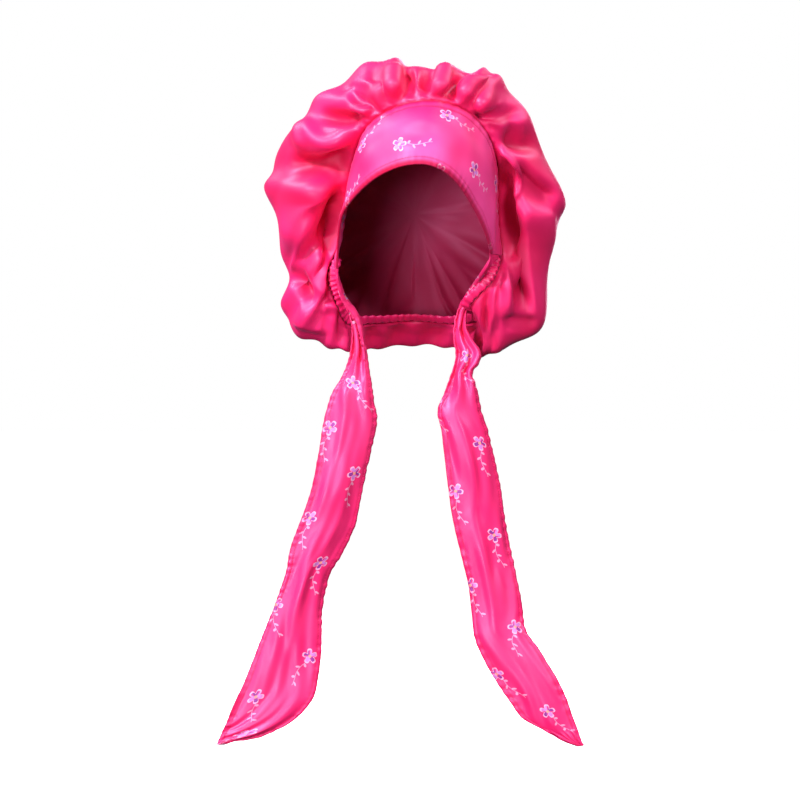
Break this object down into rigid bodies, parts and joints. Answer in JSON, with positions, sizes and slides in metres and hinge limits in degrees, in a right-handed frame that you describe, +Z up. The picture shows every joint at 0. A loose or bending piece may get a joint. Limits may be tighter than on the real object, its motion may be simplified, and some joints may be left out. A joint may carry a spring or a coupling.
{
  "type": "satin bonnet",
  "caption": "Full gathered satin bonnet with a wide flat printed brow band, a ruffled elastic nape casing and long printed ties that hang from the ears.",
  "frame": {"origin": "centre of the wearer's head, level with the temples", "axes": "+Z up, +Y towards the back of the head, so the face looks along -Y, and +X towards the viewer's right as the face is seen"},
  "size_m": [0.3658, 0.2503, 0.6899],
  "materials": {
    "satin": "hot pink satin, soft sheen",
    "band_satin": "hot pink satin with a small scattered print",
    "tie_satin": "hot pink satin with a small scattered print",
    "casing_satin": "hot pink satin, ruffled"
  },
  "bodies": {
    "root": {"crown": "satin", "front_band": "band_satin", "tie_left": "tie_satin", "tie_right": "tie_satin", "nape_casing": "casing_satin"}
  },
  "joints": []
}
